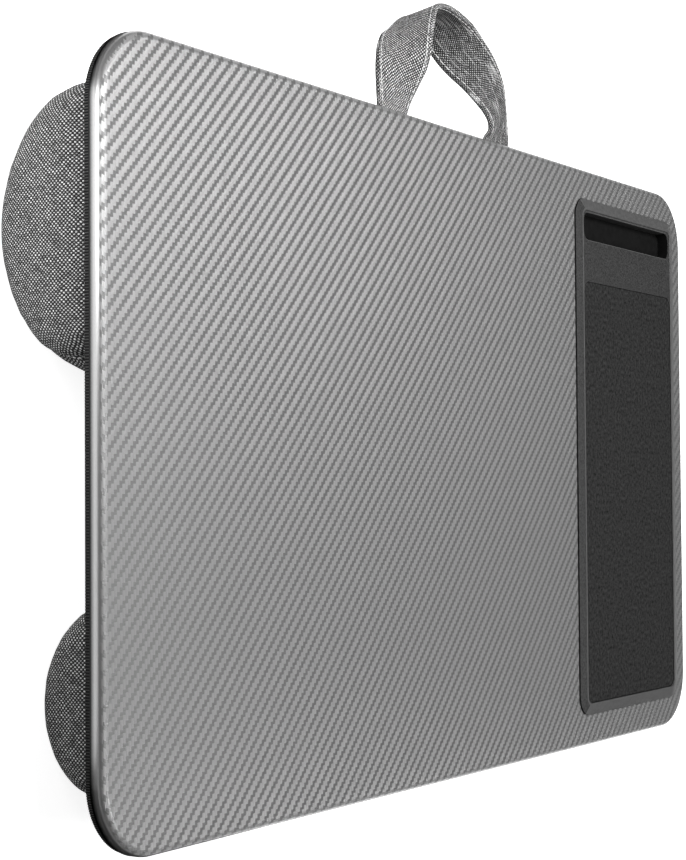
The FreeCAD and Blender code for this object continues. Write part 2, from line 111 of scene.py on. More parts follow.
def new_finish(name, **constants):
    """A material, its node tree and its Principled shader, with constants set by socket name."""
    material = bpy.data.materials.new(name)
    material.use_nodes = True
    shader = material.node_tree.nodes["Principled BSDF"]
    for socket, value in constants.items():
        shader.inputs[socket.replace("_", " ")].default_value = value
    return material, material.node_tree, shader


def object_place(tree):
    """Object coordinates, which are the part's own frame."""
    return place_node(tree, "ShaderNodeTexCoord").outputs["Object"]


def colour(tree, shader, socket):
    """Join a colour to the shader."""
    tree.links.new(socket, shader.inputs["Base Color"])


def bump(tree, shader, height, depth):
    """Raise the surface by a height from 0 to 1 times a depth in metres."""
    node = place_node(tree, "ShaderNodeBump", {"Height": height, "Distance": depth})
    tree.links.new(node.outputs["Normal"], shader.inputs["Normal"])


def repaint(node_name, material):
    """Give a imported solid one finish."""
    mesh = frame["nodes"][node_name].data
    mesh.materials.clear()
    mesh.materials.append(material)


fibreboard, tree, shader = new_finish("raw_fibreboard", Roughness=0.9)
fibres = speckle(tree, object_place(tree), FIBRE_SCALE, detail=6)
fibre_tone = place_node(tree, "ShaderNodeValToRGB", {"Fac": fibres})
fibre_tone.color_ramp.elements[0].color = FIBRE_DARK
fibre_tone.color_ramp.elements[1].color = FIBRE_LIGHT
colour(tree, shader, fibre_tone.outputs["Color"])
bump(tree, shader, fibres, FIBRE_RELIEF)
repaint("top_board", fibreboard)


# Film: a thin silver sheet printed and pressed as a two-by-two twill, drawn over the board's face
# and down its rolled edge. It is cut out for the insert and notched where the strap leaves.
film_low, film_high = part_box("top_film")
BOARD_WIDTH = film_high.x - film_low.x
BOARD_DEPTH = 0.305
BOARD_THICKNESS = 0.006
BOARD_CORNER = 0.030
EDGE_ROLL = 0.0032
ROLL_SEGMENTS = 10
FILM_THICKNESS = 0.0005
CORNER_SEGMENTS = 24
INSERT_WIDTH = 0.1294
INSERT_DEPTH = 0.2725
INSERT_SIDE_MARGIN = 0.0135
INSERT_X = BOARD_WIDTH / 2 - INSERT_SIDE_MARGIN - INSERT_WIDTH / 2
BEZEL_OVERLAP = 0.0045
CUTOUT_CORNER = 0.006
STRAP_WIDTH = 0.026
STRAP_THICKNESS = 0.0024
STRAP_HALF_SPAN = 0.050
STRAP_OFFSET = 0.0044
STRAP_FIT = 0.0002


def rounded_plate(bm, width, depth, radius, x=0, y=0, z=0):
    """A flat face with round corners, made from a square by rounding its corner points."""
    points = bmesh.ops.create_grid(bm, x_segments=1, y_segments=1, size=0.5)["verts"]
    bmesh.ops.scale(bm, verts=points, vec=(width, depth, 1))
    bmesh.ops.translate(bm, verts=points, vec=(x, y, z))
    rounded = bmesh.ops.bevel(
        bm, geom=points, offset=radius, offset_type="OFFSET", affect="VERTICES",
        segments=CORNER_SEGMENTS, profile=0.5, material=-1)
    return rounded["verts"][0].link_faces[0]


def rounded_loop(bm, *sizes, **place):
    """The edge loop of a rounded plate, without its face."""
    plate = rounded_plate(bm, *sizes, **place)
    edges = list(plate.edges)
    bmesh.ops.delete(bm, geom=[plate], context="FACES_ONLY")
    return edges


def bridge(bm, first, second):
    """Join two edge loops with faces."""
    bmesh.ops.bridge_loops(bm, edges=first + second)


def drop_loop(bm, edges, fall):
    """Extrude an edge loop straight down and return the new loop."""
    made = bmesh.ops.extrude_edge_only(bm, edges=edges)["geom"]
    points = {item for item in made if isinstance(item, bmesh.types.BMVert)}
    bmesh.ops.translate(bm, verts=list(points), vec=(0, 0, -fall))
    lines = [item for item in made if isinstance(item, bmesh.types.BMEdge)]
    return [line for line in lines if points.issuperset(line.verts)]


def round_edges(bm, edges, radius, segments):
    """Round edges over."""
    bmesh.ops.bevel(
        bm, geom=edges, offset=radius, offset_type="OFFSET", affect="EDGES",
        segments=segments, profile=0.5, material=-1, clamp_overlap=True)


def cut_across(bm, point, direction):
    """Cut a mesh along a plane and return the edges of the cut."""
    everything = bm.verts[:] + bm.edges[:] + bm.faces[:]
    cut = bmesh.ops.bisect_plane(bm, geom=everything, plane_co=point, plane_no=direction)["geom_cut"]
    return [item for item in cut if isinstance(item, bmesh.types.BMEdge)]


def add_piece(name, bm, *finishes, pose=board_pose, sharp_degrees=35):
    """Turn a finished bmesh into an object that stands in the part's frame."""
    mesh = bpy.data.meshes.new(name)
    bm.to_mesh(mesh)
    bm.free()
    mesh.transform(pose)
    mesh.shade_smooth()
    mesh.set_sharp_from_angle(angle=math.radians(sharp_degrees))
    for finish in finishes:
        mesh.materials.append(finish)
    piece = bpy.data.objects.new(name, mesh)
    bpy.context.scene.collection.objects.link(piece)
    return piece


film_bm = bmesh.new()
film_edge = rounded_loop(film_bm, BOARD_WIDTH, BOARD_DEPTH, BOARD_CORNER)
cutout_edge = rounded_loop(
    film_bm, INSERT_WIDTH - 2 * BEZEL_OVERLAP, INSERT_DEPTH - 2 * BEZEL_OVERLAP, CUTOUT_CORNER, x=INSERT_X)
bridge(film_bm, film_edge, cutout_edge)
drop_loop(film_bm, film_edge, BOARD_THICKNESS)
round_edges(film_bm, film_edge, EDGE_ROLL, ROLL_SEGMENTS)
notch_half = STRAP_WIDTH / 2 + STRAP_FIT
notch_top = STRAP_THICKNESS - BOARD_THICKNESS
for side in (-1, 1):
    for flank in (-1, 1):
        cut_across(film_bm, (side * STRAP_HALF_SPAN - STRAP_OFFSET + flank * notch_half, 0, 0), (1, 0, 0))
cut_across(film_bm, (0, 0, notch_top), (0, 0, 1))
notches = []
for face in film_bm.faces:
    middle = face.calc_center_median()
    from_foot = abs(abs(middle.x + STRAP_OFFSET) - STRAP_HALF_SPAN)
    if from_foot < notch_half and middle.y > 0 and middle.z < notch_top:
        notches.append(face)
bmesh.ops.delete(film_bm, geom=notches, context="FACES")
bmesh.ops.recalc_face_normals(film_bm, faces=film_bm.faces[:])
if max(film_bm.faces, key=lambda face: face.calc_area()).normal.z < 0:
    bmesh.ops.reverse_faces(film_bm, faces=film_bm.faces[:])
bmesh.ops.solidify(film_bm, geom=film_bm.faces[:], thickness=FILM_THICKNESS)

# Twill: the upright tows' long light floats climb to the right in steps, and the lying tows show dark
# between them. Fine fibres run along each tow.
FLANK_POWER = 3
ARCH_SHARE = 0.4
TOW_FIBRES = 6
FIBRE_RELIEF_SHARE = 0.25
FLOAT_SHARE = 0.58
TOW_SPECKLE = 2.5


def calc(tree, operation, *values):
    """One Math node on numbers or sockets."""
    return place_node(tree, "ShaderNodeMath", dict(enumerate(values)), operation=operation).outputs[0]


def remap(tree, value, start, end, low=0, high=1):
    """A value that runs from low to high as another runs from start to end."""
    inputs = {"Value": value, "From Min": start, "From Max": end, "To Min": low, "To Max": high}
    return place_node(tree, "ShaderNodeMapRange", inputs).outputs["Result"]


def between(tree, mask, low, high):
    """A value that runs from low to high as the mask runs from 0 to 1."""
    return remap(tree, mask, 0, 1, low, high)


def new_group(name, inputs, outputs):
    """A shader node group: its tree, what comes into it and what it puts out."""
    tree = bpy.data.node_groups.new(name, "ShaderNodeTree")
    for label, kind in inputs.items():
        tree.interface.new_socket(label, in_out="INPUT", socket_type=kind)
    for label in outputs:
        tree.interface.new_socket(label, in_out="OUTPUT", socket_type="NodeSocketFloat")
    return tree, tree.nodes.new("NodeGroupInput").outputs, tree.nodes.new("NodeGroupOutput").inputs


def thread_cells(tree, vector):
    """For each direction: the place in threads, the thread's number and the place within it."""
    parts = place_node(tree, "ShaderNodeSeparateXYZ", {0: vector}).outputs
    cells = []
    for axis in ("X", "Y"):
        number = calc(tree, "FLOOR", parts[axis])
        inside = calc(tree, "SUBTRACT", calc(tree, "FRACT", parts[axis]), 0.5)
        cells.append((parts[axis], number, inside))
    return cells


def thread_height(tree, across, along):
    """Rounded section of a thread, arched where it passes over another."""
    flank = calc(tree, "ABSOLUTE", calc(tree, "MULTIPLY", across, 2))
    section = calc(tree, "SUBTRACT", 1, calc(tree, "POWER", flank, FLANK_POWER))
    arch = calc(tree, "COSINE", calc(tree, "MULTIPLY", along, math.pi))
    return calc(tree, "MULTIPLY", section, calc(tree, "MULTIPLY_ADD", arch, ARCH_SHARE, 1 - ARCH_SHARE))


def tow_height(tree, across, along):
    """A tow's rounded section with its fibres."""
    fibres = calc(tree, "COSINE", calc(tree, "MULTIPLY", across, 2 * math.pi * TOW_FIBRES))
    return calc(tree, "MULTIPLY_ADD", fibres, FIBRE_RELIEF_SHARE, thread_height(tree, across, along))


twill, twill_in, twill_out = new_group("twill", {"Vector": "NodeSocketVector"}, ("Over", "Height", "Fibre"))
(_, u_tow, u_inside), (v, _, v_inside) = thread_cells(twill, twill_in["Vector"])
up_place = calc(twill, "SUBTRACT", calc(twill, "MULTIPLY", calc(twill, "SUBTRACT", v, u_tow), 0.5), 0.5)
up_float = calc(twill, "WRAP", up_place, 1, -1)
over = calc(twill, "LESS_THAN", calc(twill, "ABSOLUTE", up_float), FLOAT_SHARE)
upright = tow_height(twill, u_inside, up_float)
lying = tow_height(twill, v_inside, 0)
twill.links.new(over, twill_out["Over"])
twill.links.new(between(twill, over, lying, upright), twill_out["Height"])
twill.links.new(speckle(twill, twill_in["Vector"], TOW_SPECKLE), twill_out["Fibre"])

# Finish of the film. Its print is stretched flat round the roll. The floats where the roll begins get a
# painted highlight, and the foot of the edge gets painted shade: there the colour goes dark, the film turns
# fully metallic and loses its coat.
# Pairs of heights below the face say where each of these starts and ends.
TOW = 0.0016
TWILL_RELIEF = 0.00006
FLOAT_TONE_SHARE = 0.6
# How low the tone may go, and how far it drops in the painted shade at the foot
DARKEST_SHADED_TOW = -0.7
FOOT_SHADE_DEPTH = 2
FILM_TONES = (0.01, 0.30)
FILM_ROUGHNESS = (0.26, 0.38)
FILM_METAL = 0.45
ROLL_METAL = 0.75
FILM_COAT = 0.3
PRINT_FADE = (-0.0006, -0.0016)
# Heights over which the painted shade at the foot sets in
FOOT_SHADE_SPAN = (-0.0036, -0.0060)
# Heights where the painted highlight on the floats at the roll's start rises and falls
CREST_START = (0, -0.0003)
CREST_END = (-0.0012, -0.0005)
CREST_PAINTED_HIGHLIGHT = 0.07


def board_place(tree):
    """Object coordinates turned back into the board's own frame."""
    inputs = {"Vector": object_place(tree), "Location": board_origin, "Rotation": (board_tilt, 0, 0)}
    return place_node(tree, "ShaderNodeMapping", inputs, vector_type="TEXTURE").outputs["Vector"]


def use_group(tree, group, **inputs):
    """Place a node group in a material and return its outputs."""
    return place_node(tree, "ShaderNodeGroup", inputs, node_tree=group).outputs


def grey(tree, level):
    """A neutral colour of one level."""
    return place_node(tree, "ShaderNodeCombineColor", {0: level, 1: level, 2: level}).outputs[0]


def rough(tree, shader, mask, low, high):
    """Let the shader's roughness run from low to high as the mask runs from 0 to 1."""
    tree.links.new(between(tree, mask, low, high), shader.inputs["Roughness"])


film_finish, tree, shader = new_finish("twill_film", Coat_Roughness=0.12)
flat = place_node(tree, "ShaderNodeSeparateXYZ", {0: board_place(tree)}).outputs
wrapped_x = calc(tree, "DIVIDE", calc(tree, "ADD", flat["X"], flat["Z"]), TOW)
wrapped_y = calc(tree, "DIVIDE", calc(tree, "ADD", flat["Y"], flat["Z"]), TOW)
wrapped = place_node(tree, "ShaderNodeCombineXYZ", {"X": wrapped_x, "Y": wrapped_y}).outputs[0]
tows = use_group(tree, twill, Vector=wrapped)
drawn_flat = remap(tree, flat["Z"], *PRINT_FADE)
# Painted shade at the foot of the edge: darker colour, full metal and no coat
foot_shade = remap(tree, flat["Z"], *FOOT_SHADE_SPAN)
shown_over = calc(tree, "MAXIMUM", tows["Over"], drawn_flat)
strand_tone = calc(tree, "MULTIPLY", tows["Fibre"], 1 - FLOAT_TONE_SHARE)
tow_tone = calc(tree, "MULTIPLY_ADD", shown_over, FLOAT_TONE_SHARE, strand_tone)
tow_tone = calc(tree, "SUBTRACT", tow_tone, calc(tree, "MULTIPLY", foot_shade, FOOT_SHADE_DEPTH))
film_tone = remap(tree, tow_tone, DARKEST_SHADED_TOW, 1, *FILM_TONES)
# Painted highlight on the floats where the roll begins
crest = calc(tree, "MULTIPLY", remap(tree, flat["Z"], *CREST_START), remap(tree, flat["Z"], *CREST_END))
float_painted_highlight = calc(tree, "MULTIPLY", tows["Over"], crest)
colour(tree, shader, grey(tree, calc(tree, "MULTIPLY_ADD", float_painted_highlight, CREST_PAINTED_HIGHLIGHT, film_tone)))
rough(tree, shader, tows["Fibre"], *FILM_ROUGHNESS)
roll_metal = between(tree, drawn_flat, FILM_METAL, ROLL_METAL)
tree.links.new(between(tree, foot_shade, roll_metal, 1), shader.inputs["Metallic"])
tree.links.new(between(tree, foot_shade, FILM_COAT, 0), shader.inputs["Coat Weight"])
bump(tree, shader, between(tree, drawn_flat, tows["Height"], 0.5), TWILL_RELIEF)

film = add_piece("silver_film", film_bm, film_finish)
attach(film, "tray")
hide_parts("top_film")


# Base sheet: stiff sheet faced with black plain-woven cloth, glued under the board.
# It closes the board below and carries the bolsters.
WANDER_SCALE = 0.12
SLUB_RUN = 0.28
WARP_STEP = 7.31
WEFT_STEP = 5.17
LINING_THREAD = 0.0007
LINING_WANDER = 1.0
LINING_TONES = (0.008, 0.03)
LINING_ROUGHNESS = (0.95, 0.75)
LINING_RELIEF = 0.0002


def scaled(tree, vector, factor):
    """A vector times a number."""
    inputs = {0: vector, "Scale": factor}
    return place_node(tree, "ShaderNodeVectorMath", inputs, operation="SCALE").outputs[0]


def streaks(tree, x, x_scale, y, y_scale):
    """Noise drawn out in the direction with the lower scale."""
    place = {"X": calc(tree, "MULTIPLY", x, x_scale), "Y": calc(tree, "MULTIPLY", y, y_scale)}
    return speckle(tree, place_node(tree, "ShaderNodeCombineXYZ", place).outputs[0], 1, detail=1)


def grey_between(tree, mask, low, high):
    """A neutral colour that runs from low to high as the mask runs from 0 to 1."""
    return grey(tree, between(tree, mask, low, high))


weave, weave_in, weave_out = new_group(
    "plain_weave", {"Vector": "NodeSocketVector", "Wander": "NodeSocketFloat"}, ("Warp", "Height", "Slub"))
wander = {"Vector": weave_in["Vector"], "Scale": WANDER_SCALE, "Detail": 2}
wander = place_node(weave, "ShaderNodeTexNoise", wander).outputs["Color"]
drifted = {0: weave_in["Vector"], 1: scaled(weave, wander, weave_in["Wander"])}
drifted = place_node(weave, "ShaderNodeVectorMath", drifted, operation="ADD").outputs[0]
(u, u_thread, u_inside), (v, v_thread, v_inside) = thread_cells(weave, drifted)
crossing = calc(weave, "FLOORED_MODULO", calc(weave, "ADD", u_thread, v_thread), 2)
warp_over = calc(weave, "LESS_THAN", crossing, 0.5)
warp_height = thread_height(weave, u_inside, v_inside)
weft_height = thread_height(weave, v_inside, u_inside)
warp_slub = streaks(weave, u_thread, WARP_STEP, v, SLUB_RUN)
weft_slub = streaks(weave, u, SLUB_RUN, v_thread, WEFT_STEP)
weave.links.new(warp_over, weave_out["Warp"])
weave.links.new(between(weave, warp_over, weft_height, warp_height), weave_out["Height"])
weave.links.new(between(weave, warp_over, weft_slub, warp_slub), weave_out["Slub"])

lining, tree, shader = new_finish("black_lining", Sheen_Weight=0.15, Specular_IOR_Level=0.25)
lining_place = scaled(tree, board_place(tree), 1 / LINING_THREAD)
threads = use_group(tree, weave, Vector=lining_place, Wander=LINING_WANDER)
colour(tree, shader, grey_between(tree, threads["Slub"], *LINING_TONES))
rough(tree, shader, threads["Height"], *LINING_ROUGHNESS)
bump(tree, shader, threads["Height"], LINING_RELIEF)
repaint("base_sheet", lining)


# Binding: black ribbed tape folded round the base sheet's edge and glued there.
# Its ribs stand across the edge, a little over a millimetre apart.
BASE_INSET = 0.0005
BASE_THICKNESS = 0.002
TAPE_THICKNESS = 0.0004
TAPE_LEG = 0.006
RIB_HALF_PITCH = 0.00055
RIB_PROUD = 0.0003
# Painted highlight on the rib crests: its noise scale, spread and sharpness, and the tones of groove and
# crest
RIB_HIGHLIGHT_SCALE = 700
RIB_HIGHLIGHT_SPREAD = (0.6, 1.0)
RIB_SHARPNESS = 3
BINDING_TONES = (0.0005, 0.12)
binding_bm = bmesh.new()
rib_crest = binding_bm.verts.layers.float.new("rib_crest")
binding_plate = rounded_plate(
    binding_bm, BOARD_WIDTH - 2 * BASE_INSET, BOARD_DEPTH - 2 * BASE_INSET, BOARD_CORNER - BASE_INSET,
    z=-BOARD_THICKNESS)
for edge in list(binding_plate.edges):
    cuts = round(edge.calc_length() / RIB_HALF_PITCH) - 1
    bmesh.ops.subdivide_edges(binding_bm, edges=[edge], cuts=cuts)
outline = list(binding_plate.verts)
binding_loop = list(binding_plate.edges)
bmesh.ops.delete(binding_bm, geom=[binding_plate], context="FACES_ONLY")


def outward(place):
    """Direction out of the board's rounded outline at a point near it."""
    core_x = BOARD_WIDTH / 2 - BOARD_CORNER
    core_y = BOARD_DEPTH / 2 - BOARD_CORNER
    core = Vector((min(max(place.x, -core_x), core_x), min(max(place.y, -core_y), core_y), place.z))
    return (place - core).normalized()


for number, point in enumerate(outline):
    point[rib_crest] = 1 - number % 2
    point.co -= outward(point.co) * RIB_PROUD * (number % 2)
wall_loop = drop_loop(binding_bm, binding_loop, BASE_THICKNESS)
foot_loop = drop_loop(binding_bm, wall_loop, TAPE_THICKNESS)
leg_loop = drop_loop(binding_bm, foot_loop, 0)
for point in {point for edge in leg_loop for point in edge.verts}:
    point.co -= outward(point.co) * TAPE_LEG
bmesh.ops.recalc_face_normals(binding_bm, faces=binding_bm.faces[:])

binding_finish, tree, shader = new_finish("ribbed_tape", Roughness=0.8, Specular_IOR_Level=0.1)
# The rib crests are painted lighter than the grooves, a painted highlight that varies along the tape
crests = place_node(tree, "ShaderNodeAttribute", attribute_name="rib_crest").outputs["Fac"]
rib_highlight_spread = between(tree, speckle(tree, object_place(tree), RIB_HIGHLIGHT_SCALE), *RIB_HIGHLIGHT_SPREAD)
rib_painted_highlight = calc(tree, "POWER", calc(tree, "MULTIPLY", crests, rib_highlight_spread), RIB_SHARPNESS)
colour(tree, shader, grey_between(tree, rib_painted_highlight, *BINDING_TONES))
binding = add_piece("ribbed_binding", binding_bm, binding_finish, sharp_degrees=60)
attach(binding, "tray")
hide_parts("base_binding")


# Insert: a black moulding let into the board from above and held by tape under its sloped bezel.
# It has a raised rim, a phone slot, a bridge and a bed for the mouse pad. The rim's top and the slopes that
# face away from the work surface get a paler painted highlight; the slope towards the work surface stays as
# matt as the face.
# The slot's walls and floor and the bezel's lip wall get a near-black painted shade.
INSERT_CORNER = 0.010
BEZEL_LIP_LOW = 0.0002
BEZEL_LIP_HIGH = 0.0009
BEZEL_SIDE = 0.006
BEZEL_END = 0.005
BEZEL_RISE = 0.0022
RIM_LAND = 0.001
RIM_DROP = 0.0004
RIM_ROUND = 0.00035
LIP_ROUND = 0.0002
FACE_HEIGHT = BEZEL_RISE - RIM_DROP
FACE_WIDTH = INSERT_WIDTH - 2 * (BEZEL_SIDE + RIM_LAND)
FACE_DEPTH = INSERT_DEPTH - 2 * (BEZEL_END + RIM_LAND)
SLOT_MARGIN = 0.0012
SLOT_BREADTH = 0.0144
SLOT_CORNER = 0.005
SLOT_BOTTOM = -0.0045
SLOT_LIP = 0.0005
BRIDGE_BREADTH = 0.0226
PAD_SEAM = 0.0004
PAD_CORNER = 0.006
PAD_THICKNESS = 0.002
PAD_GLUE = 0.0002
PAD_WIDTH = FACE_WIDTH - 2 * PAD_SEAM
PAD_REAR = FACE_DEPTH / 2 - SLOT_MARGIN - SLOT_BREADTH - BRIDGE_BREADTH
PAD_LENGTH = PAD_REAR + FACE_DEPTH / 2 - PAD_SEAM
PAD_Y = PAD_REAR - PAD_LENGTH / 2
SLOT_Y = FACE_DEPTH / 2 - SLOT_MARGIN - SLOT_BREADTH / 2
INSERT_FIT = 0.0003

insert_bm = bmesh.new()
slope_width = INSERT_WIDTH - 2 * BEZEL_SIDE
slope_depth = INSERT_DEPTH - 2 * BEZEL_END
slope_corner = INSERT_CORNER - BEZEL_END
skirt_width = INSERT_WIDTH - 2 * (BEZEL_OVERLAP + INSERT_FIT)
skirt_depth = INSERT_DEPTH - 2 * (BEZEL_OVERLAP + INSERT_FIT)
skirt_corner = CUTOUT_CORNER - INSERT_FIT
bottom = rounded_plate(insert_bm, skirt_width, skirt_depth, skirt_corner, x=INSERT_X, z=-BOARD_THICKNESS)
rings = [list(bottom.edges)]
for width, depth, corner, height in (
        (skirt_width, skirt_depth, skirt_corner, BEZEL_LIP_LOW),
        (INSERT_WIDTH, INSERT_DEPTH, INSERT_CORNER, BEZEL_LIP_LOW),
        (INSERT_WIDTH, INSERT_DEPTH, INSERT_CORNER, BEZEL_LIP_HIGH),
        (slope_width, slope_depth, slope_corner, BEZEL_RISE),
        (FACE_WIDTH, FACE_DEPTH, slope_corner - RIM_LAND, BEZEL_RISE),
        (FACE_WIDTH, FACE_DEPTH, slope_corner - RIM_LAND, FACE_HEIGHT)):
    rings.append(rounded_loop(insert_bm, width, depth, corner, x=INSERT_X, z=height))
# The flat pairs go first: a flat bridge between loops that already carry walls comes out twisted
flat_pairs = [(rings[1], rings[2]), (rings[4], rings[5])]
wall_pairs = [(rings[0], rings[1]), (rings[2], rings[3]), (rings[3], rings[4]), (rings[5], rings[6])]
for lower, upper in flat_pairs + wall_pairs:
    bridge(insert_bm, lower, upper)
slot_loop = rounded_loop(
    insert_bm, FACE_WIDTH - 2 * SLOT_MARGIN, SLOT_BREADTH, SLOT_CORNER, x=INSERT_X, y=SLOT_Y, z=FACE_HEIGHT)
bed_loop = rounded_loop(
    insert_bm, PAD_WIDTH + PAD_SEAM, PAD_LENGTH + PAD_SEAM, PAD_CORNER, x=INSERT_X, y=PAD_Y, z=FACE_HEIGHT)
bmesh.ops.triangle_fill(insert_bm, use_beauty=True, edges=rings[-1] + slot_loop + bed_loop, normal=(0, 0, 1))
slot_floor = drop_loop(insert_bm, slot_loop, FACE_HEIGHT - SLOT_BOTTOM)
bmesh.ops.contextual_create(insert_bm, geom=slot_floor)
bed_floor = drop_loop(insert_bm, bed_loop, PAD_THICKNESS + PAD_GLUE)
bmesh.ops.contextual_create(insert_bm, geom=bed_floor)
round_edges(insert_bm, slot_loop, SLOT_LIP, 4)
round_edges(insert_bm, rings[5] + rings[4], RIM_ROUND, 4)
round_edges(insert_bm, rings[3], LIP_ROUND, 3)
bmesh.ops.recalc_face_normals(insert_bm, faces=insert_bm.faces[:])

# Material slots of the moulding: painted shade, then painted highlight
PAINTED_SHADE = 1
PAINTED_HIGHLIGHT = 2
NEARLY_NONE = 0.1
SLOPE_LEAST = 0.5
SLOPE_MOST = 0.99
# Slot and lip wall faces get painted shade; the rim's top and the slopes facing away from the work surface
# get painted highlight
for face in insert_bm.faces:
    middle = face.calc_center_median()
    off_x = abs(middle.x - INSERT_X)
    in_slot = abs(middle.y - SLOT_Y) < SLOT_BREADTH / 2 and off_x < FACE_WIDTH / 2
    on_lip = BEZEL_LIP_LOW < middle.z < BEZEL_LIP_HIGH - LIP_ROUND and abs(face.normal.z) < NEARLY_NONE
    on_slope = middle.z > BEZEL_LIP_HIGH and SLOPE_LEAST < face.normal.z < SLOPE_MOST and not in_slot
    if (in_slot and middle.z < FACE_HEIGHT - SLOT_LIP) or on_lip:
        face.material_index = PAINTED_SHADE
    elif middle.z > BEZEL_RISE - RIM_ROUND / 2 or (on_slope and face.normal.x > -NEARLY_NONE):
        face.material_index = PAINTED_HIGHLIGHT

GRAIN_SCALE = 1100
GRAIN_SPREAD = (0.3, 0.7)
GRAIN_TONES = (0.010, 0.050)
GRAIN_ROUGHNESS = (0.5, 0.7)
GRAIN_RELIEF = 0.00006
# Painted shade in the slot and on the bezel's lip wall: mottle scale, near-black tones and roughness
SHADE_MOTTLE_SCALE = 350
SHADE_TONES = (0.004, 0.012)
SHADE_MOTTLE_ROUGHNESS = (0.3, 0.6)
# Painted highlight on the rim and slopes: mottle scale, paler tones and roughness
RIM_HIGHLIGHT_SCALE = 500
RIM_HIGHLIGHT_TONES = (0.04, 0.11)
RIM_HIGHLIGHT_ROUGHNESS = (0.3, 0.5)
insert_finish, tree, shader = new_finish("matt_moulding", Specular_IOR_Level=0.2)
grain = remap(tree, speckle(tree, object_place(tree), GRAIN_SCALE, detail=3), *GRAIN_SPREAD)
colour(tree, shader, grey_between(tree, grain, *GRAIN_TONES))
rough(tree, shader, grain, *GRAIN_ROUGHNESS)
bump(tree, shader, grain, GRAIN_RELIEF)
# Near-black copy of the moulding's finish, as painted shade
shade_finish, tree, shader = new_finish("moulding_painted_shade", Specular_IOR_Level=0.02)
shade_mottle = speckle(tree, object_place(tree), SHADE_MOTTLE_SCALE)
colour(tree, shader, grey_between(tree, shade_mottle, *SHADE_TONES))
rough(tree, shader, shade_mottle, *SHADE_MOTTLE_ROUGHNESS)
# Paler copy of the moulding's finish, as painted highlight
rim_highlight_finish, tree, shader = new_finish("moulding_painted_highlight", Specular_IOR_Level=0.4)
rim_highlight_mottle = speckle(tree, object_place(tree), RIM_HIGHLIGHT_SCALE)
colour(tree, shader, grey_between(tree, rim_highlight_mottle, *RIM_HIGHLIGHT_TONES))
rough(tree, shader, rim_highlight_mottle, *RIM_HIGHLIGHT_ROUGHNESS)
insert = add_piece("insert_moulding", insert_bm, insert_finish, shade_finish, rim_highlight_finish, sharp_degrees=40)
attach(insert, "tray")
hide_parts("mouse_pad_tray")


# Tape under the bezel and adhesive sheet under the pad: thin clear film, sticky on both sides.
# They hold the insert and the pad, and are out of sight.
TAPE_STREAK_SCALE = 120
TAPE_TONES = (0.6, 0.8)
TAPE_ROUGHNESS = (0.2, 0.4)
tape_finish, tree, shader = new_finish("clear_tape", Specular_IOR_Level=0.5)
tape_streaks = speckle(tree, object_place(tree), TAPE_STREAK_SCALE)
colour(tree, shader, grey_between(tree, tape_streaks, *TAPE_TONES))
rough(tree, shader, tape_streaks, *TAPE_ROUGHNESS)
repaint("tray_tape", tape_finish)
repaint("pad_adhesive", tape_finish)


# Mouse pad: thin foam faced with fine dark knit, die-cut with round corners and stuck in its bed.
# Its top is barely crowned and its cut edge is rounded over.
PAD_EDGE = 0.0004
PAD_CROWN = 0.00015
PAD_CELLS = 12
KNIT_THREAD = 0.0004
KNIT_WANDER = 0.6
KNIT_SLUB_SHARE = 0.9
FLECK_SCALE = 550
FLECK_CONTRAST = 1.6
FLECK_SHIFT = 0.75
KNIT_TONES = (0.002, 0.054)
KNIT_ROUGHNESS = (0.95, 0.8)
KNIT_RELIEF = 0.00012
pad_bm = bmesh.new()
pad_plate = rounded_plate(
    pad_bm, PAD_WIDTH, PAD_LENGTH, PAD_CORNER, x=INSERT_X, y=PAD_Y, z=FACE_HEIGHT - PAD_THICKNESS)
lifted = bmesh.ops.extrude_face_region(pad_bm, geom=[pad_plate])["geom"]
pad_top = [item for item in lifted if isinstance(item, bmesh.types.BMVert)]
bmesh.ops.translate(pad_bm, verts=pad_top, vec=(0, 0, PAD_THICKNESS))
pad_rim = [edge for edge in pad_bm.edges if all(vert in pad_top for vert in edge.verts)]
round_edges(pad_bm, pad_rim, PAD_EDGE, 4)
for number in range(1, PAD_CELLS):
    share = number / PAD_CELLS - 0.5
    cut_across(pad_bm, (INSERT_X + share * PAD_WIDTH, 0, 0), (1, 0, 0))
    cut_across(pad_bm, (0, PAD_Y + share * PAD_LENGTH, 0), (0, 1, 0))
for point in pad_bm.verts:
    if point.co.z > FACE_HEIGHT - PAD_EDGE / 8:
        across = 1 - (2 * (point.co.x - INSERT_X) / PAD_WIDTH) ** 2
        along = 1 - (2 * (point.co.y - PAD_Y) / PAD_LENGTH) ** 2
        point.co.z += PAD_CROWN * max(across, 0) * max(along, 0)
bmesh.ops.recalc_face_normals(pad_bm, faces=pad_bm.faces[:])

pad_finish, tree, shader = new_finish("fine_knit", Specular_IOR_Level=0.05)
pad_place = board_place(tree)
knit = use_group(tree, weave, Vector=scaled(tree, pad_place, 1 / KNIT_THREAD), Wander=KNIT_WANDER)
flecks = calc(tree, "MULTIPLY", speckle(tree, pad_place, FLECK_SCALE), FLECK_CONTRAST)
flecks = calc(tree, "SUBTRACT", flecks, FLECK_SHIFT)
knit_tone = calc(tree, "MULTIPLY_ADD", knit["Slub"], KNIT_SLUB_SHARE, flecks)
colour(tree, shader, grey_between(tree, knit_tone, *KNIT_TONES))
rough(tree, shader, knit["Height"], *KNIT_ROUGHNESS)
bump(tree, shader, knit["Height"], KNIT_RELIEF)
mouse_pad = add_piece("knit_mouse_pad", pad_bm, pad_finish)
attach(mouse_pad, "tray")
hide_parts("mouse_pad")


